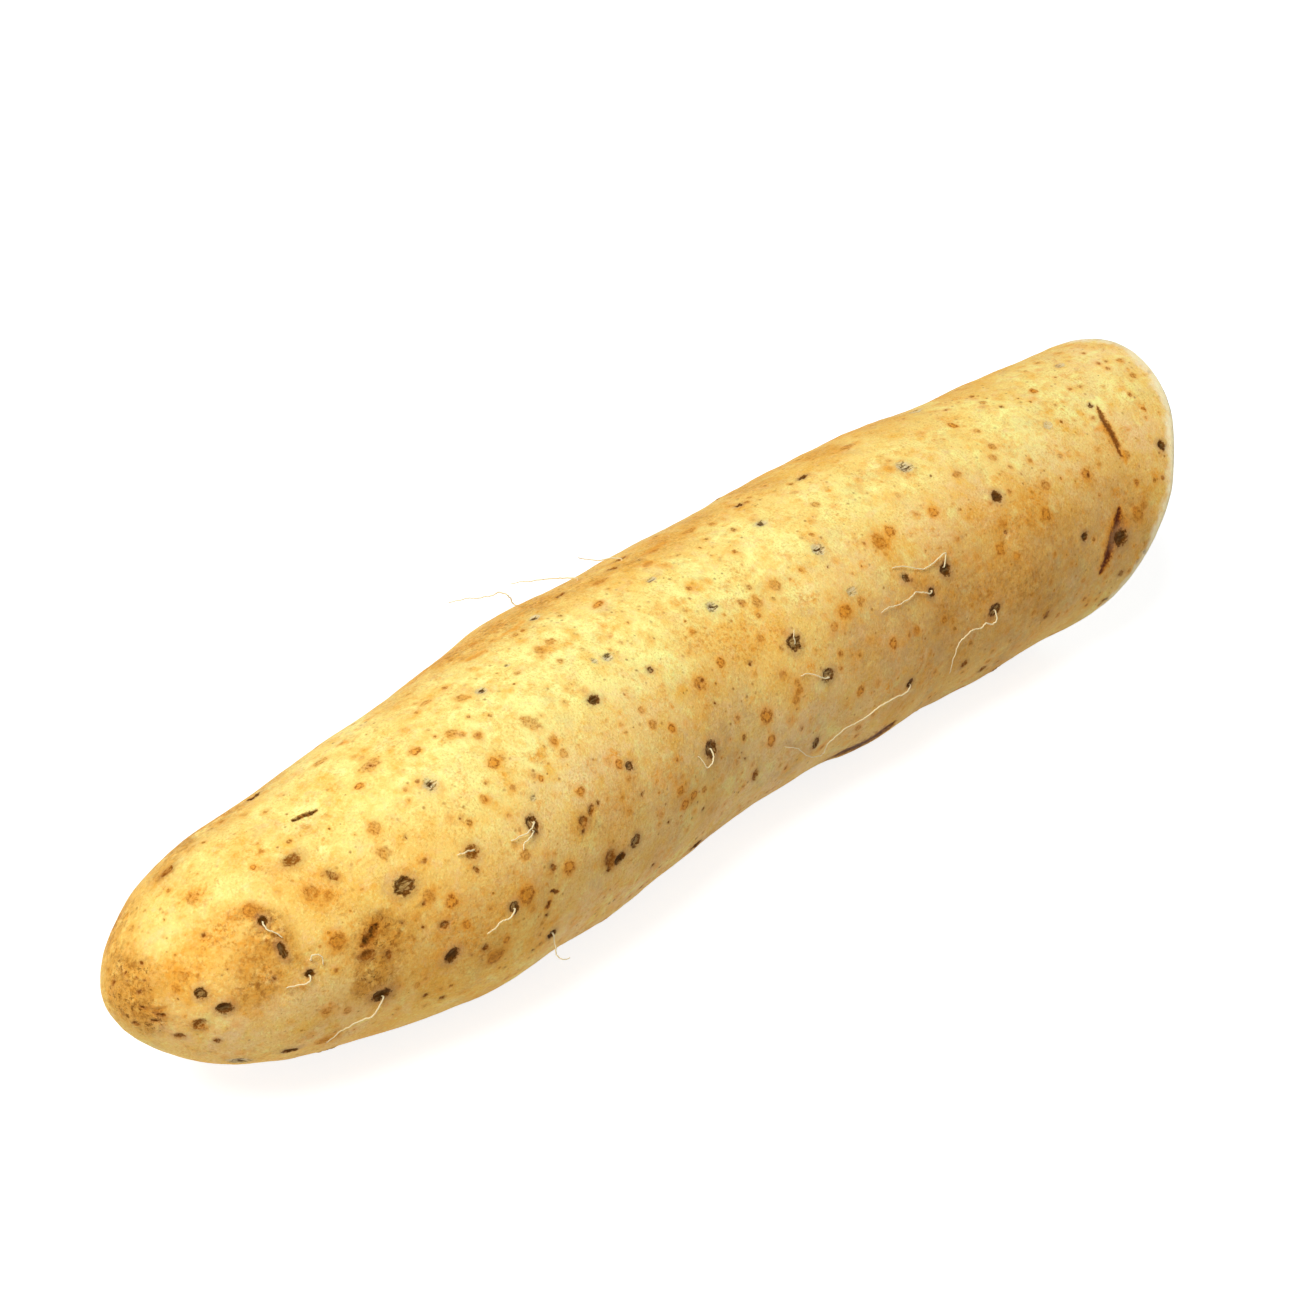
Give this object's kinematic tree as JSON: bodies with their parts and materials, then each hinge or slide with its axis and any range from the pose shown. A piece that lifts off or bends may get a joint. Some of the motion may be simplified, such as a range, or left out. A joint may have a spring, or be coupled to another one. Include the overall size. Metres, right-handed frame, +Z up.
{
  "type": "yam tuber",
  "caption": "Cut length of a pale Chinese yam tuber lying on its side, with a rounded tip, a slanting knife cut, root scars and fine rootlets.",
  "frame": {"origin": "centre of the underside of the bounding box, on the surface the tuber lies on", "axes": "+X along the tuber from its rounded tip towards its cut end, +Z up"},
  "size_m": [0.3024, 0.0788, 0.0614],
  "materials": {
    "yam_skin": "matte",
    "rootlet_fibre": "matte"
  },
  "bodies": {
    "root": {"tuber": "yam_skin", "rootlet_01": "rootlet_fibre", "rootlet_02": "rootlet_fibre", "rootlet_03": "rootlet_fibre", "rootlet_04": "rootlet_fibre", "rootlet_05": "rootlet_fibre", "rootlet_06": "rootlet_fibre", "rootlet_07": "rootlet_fibre", "rootlet_08": "rootlet_fibre", "rootlet_09": "rootlet_fibre", "rootlet_10": "rootlet_fibre", "rootlet_11": "rootlet_fibre", "rootlet_12": "rootlet_fibre", "rootlet_13": "rootlet_fibre", "rootlet_14": "rootlet_fibre", "rootlet_15": "rootlet_fibre", "rootlet_16": "rootlet_fibre", "rootlet_17": "rootlet_fibre", "rootlet_18": "rootlet_fibre", "rootlet_19": "rootlet_fibre", "rootlet_20": "rootlet_fibre", "rootlet_21": "rootlet_fibre", "rootlet_22": "rootlet_fibre", "rootlet_23": "rootlet_fibre", "rootlet_24": "rootlet_fibre"}
  },
  "joints": []
}
